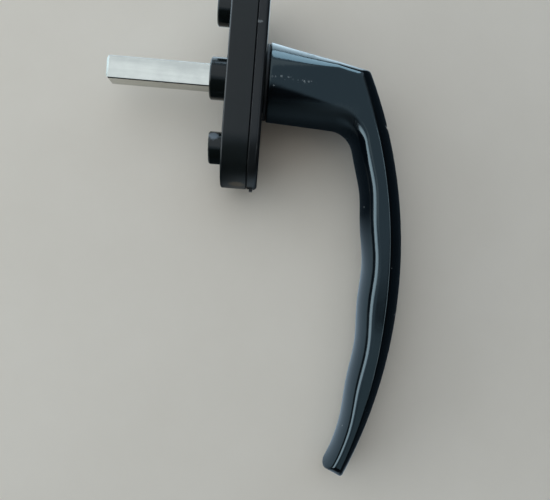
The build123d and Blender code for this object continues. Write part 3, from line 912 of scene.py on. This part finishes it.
def sheet_finish():
    """Matt pale sheet; shiny things see a painted glowing far end, painted reflections and painted
    shade round the handle.
    """
    mat, tree, bsdf, place = new_material("pale_sheet")
    axes = add(tree, "SeparateXYZ", Vector=place).outputs
    ray = add(tree, "LightPath").outputs["Is Glossy Ray"]

    def zone(axis, limits):
        return ranged(tree, axes[axis], *limits)

    def both(first, second):
        return maths(tree, "MULTIPLY", first, second)

    def either(first, second):
        return maths(tree, "MAXIMUM", first, second)

    def layered(share, under, over):
        node = add(tree, "MixShader", Fac=share)
        feed(tree, node.inputs[1], under.outputs[0])
        feed(tree, node.inputs[2], over.outputs[0])
        return node

    tone = use(tree, marks, place, Scale=26.0, Low=0.0, High=1.0)["Value"]
    feed(tree, bsdf.inputs["Base Color"], blended(tree, tone, SHEET_DARK, SHEET_PALE))
    feed(tree, bsdf.inputs["Roughness"], SHEET_ROUGH)
    feed(tree, bsdf.inputs["Specular IOR Level"], SHEET_SHINE)
    fibre = use(tree, grain, place, Scale=900.0)["Height"]
    bump(tree, bsdf, fibre, SHEET_FIBRE, strength=0.5)
    # Painted shade that glossy rays see left of the plate below the spindle, and round the handle
    left = both(zone("Y", PAINTED_LEFT_SHADE), zone("Z", PAINTED_SHADE_BELOW_SPINDLE))
    painted_shade = both(zone("Z", PAINTED_NECK_SHADE_LOW), zone("Z", PAINTED_NECK_SHADE_TOP))
    for dark in (zone("Y", PAINTED_GRIP_SHADE), zone("Z", PAINTED_FAR_SHADE), left):
        painted_shade = either(painted_shade, dark)
    # Painted reflection, paler away from the grip, mixed with the painted shade as emission that
    # glossy rays see
    pale = blended(tree, zone("Y", PAINTED_REFLECTION_GRIP_NEAR), PAINTED_REFLECTION_NEAR_COLOUR, PAINTED_REFLECTION_AWAY_COLOUR)
    near = add(tree, "Emission", Color=blended(tree, painted_shade, pale, PAINTED_SHADE_COLOUR))
    shown = layered(both(either(zone("Y", PAINTED_ZONE_HANDLE_SIDE), left), ray), bsdf, near)
    # Painted glare: emission that glossy rays see at the far end above the handle
    painted_glare = add(tree, "Emission", Color=PAINTED_GLARE_COLOUR, Strength=PAINTED_GLARE_STRENGTH)
    shown = layered(both(both(zone("Z", PAINTED_GLARE_UP), zone("Y", PAINTED_GLARE_SIDE)), ray), shown, painted_glare)
    behind = add(tree, "NewGeometry").outputs["Backfacing"]
    shown = layered(behind, shown, add(tree, "BsdfTransparent"))
    feed(tree, tree.nodes["Material Output"].inputs["Surface"], shown.outputs[0])
    return mat


sheet_lean = (PLATE_REST[0] - TIP_REST[0]) / (PLATE_REST[1] - TIP_REST[1])
low_x, high_x = (
    PLATE_REST[0] + sheet_lean * (z - PLATE_REST[1]) for z in (SHEET_LOW, SHEET_HIGH)
)
sheet_mesh = bpy.data.meshes.new("sheet")
sheet_mesh.from_pydata(
    [
        (low_x, -SHEET_SIDE, SHEET_LOW),
        (low_x, SHEET_SIDE, SHEET_LOW),
        (high_x, SHEET_SIDE, SHEET_HIGH),
        (high_x, -SHEET_SIDE, SHEET_HIGH),
    ],
    [],
    [(0, 3, 2, 1)],
)
sheet = bpy.data.objects.new("sheet", sheet_mesh)
scene.collection.objects.link(sheet)
sheet_mesh.materials.append(sheet_finish())

# Daylight: way to the sky, edge of its bright part, and colours
SKY_WAY = (-0.28, 0.50, 0.80)
SKY_EDGE = (-0.03, 0.22)
SKY_DIM = (0.020, 0.015, 0.010)
SKY_BRIGHT = (0.55, 0.68, 0.81)
GROUND = (0.480, 0.475, 0.440)


def daylight():
    """Bluish sky from the upper left, dim and warm below, and a plain ground for the camera."""
    world = bpy.data.worlds.new("daylight")
    world.use_nodes = True
    tree = world.node_tree
    way = add(tree, "TexCoord").outputs["Generated"]
    height = vector_maths(tree, "DOT_PRODUCT", way, Vector(SKY_WAY).normalized())
    share = ranged(tree, height, *SKY_EDGE, curve="SMOOTHSTEP")
    sky = blended(tree, share, SKY_DIM, SKY_BRIGHT)
    ray = add(tree, "LightPath").outputs
    direct = maths(tree, "MAXIMUM", ray["Is Camera Ray"], ray["Is Transmission Ray"])
    feed(tree, tree.nodes["Background"].inputs["Color"], blended(tree, direct, sky, GROUND))
    return world


scene.world = daylight()

# Lamps, aimed at the middle of the handle or at its tip
CENTRE = (0.0, -0.015, -0.045)
TIP = (-0.008, -0.048, -0.105)


def area_lamp(name, place, size, watts, colour, aim=CENTRE, diffuse=True, glossy=True):
    light = bpy.data.lights.new(name, "AREA")
    light.shape = "RECTANGLE"
    light.size, light.size_y = size
    light.energy = watts
    light.color = colour
    lamp = bpy.data.objects.new(name, light)
    lamp.location = place
    lamp.rotation_euler = (Vector(aim) - Vector(place)).to_track_quat("-Z", "Y").to_euler()
    lamp.visible_diffuse = diffuse
    lamp.visible_glossy = glossy
    scene.collection.objects.link(lamp)


area_lamp(
    "top_window", place=(-0.48, 0.24, 0.28), size=(0.75, 0.75), watts=0.98,
    colour=(1.0, 0.97, 0.93),
)
area_lamp(
    "side_window", place=(-0.17, 0.60, -0.02), size=(0.34, 0.95), watts=1.9,
    colour=(0.88, 0.96, 1.0),
)
area_lamp(
    "side_strip", place=(-0.24, 0.59, -0.02), size=(0.48, 0.95), watts=4.2,
    colour=(0.84, 0.91, 1.0), diffuse=False,
)
area_lamp(
    "upper_strip", place=(-0.12, -0.14, 0.56), size=(0.30, 0.30), watts=1.4,
    colour=(0.58, 0.82, 1.0), diffuse=False,
)
area_lamp(
    "front_strip", place=(-0.46, -0.40, -0.06), size=(0.11, 0.50), watts=0.55,
    colour=(0.80, 0.90, 1.0), diffuse=False,
)
area_lamp(
    "low_card", place=(-0.20, -0.10, -0.20), size=(0.10, 0.20), watts=0.046,
    colour=(0.66, 0.86, 1.0), aim=TIP, diffuse=False,
)
area_lamp(
    "room_fill", place=(-0.80, -0.10, -0.15), size=(1.0, 1.0), watts=0.75,
    colour=(1.0, 0.84, 0.66), glossy=False,
)

# Camera above the sheet, at the photograph's angle: millimetres, metres and degrees
SENSOR_WIDTH = 36.0
LENS = 39.264
CAMERA_PLACE = (-0.186124, -0.011517, -0.054080)
CAMERA_TURN = (90.7522, -4.3208, -92.1653)

camera_data = bpy.data.cameras.new("camera")
camera_data.sensor_fit = "HORIZONTAL"
camera_data.sensor_width = SENSOR_WIDTH
camera_data.lens = LENS
camera = bpy.data.objects.new("camera", camera_data)
camera.location = CAMERA_PLACE
camera.rotation_euler = [radians(turn) for turn in CAMERA_TURN]
scene.collection.objects.link(camera)
scene.camera = camera
scene.view_settings.view_transform = "Standard"
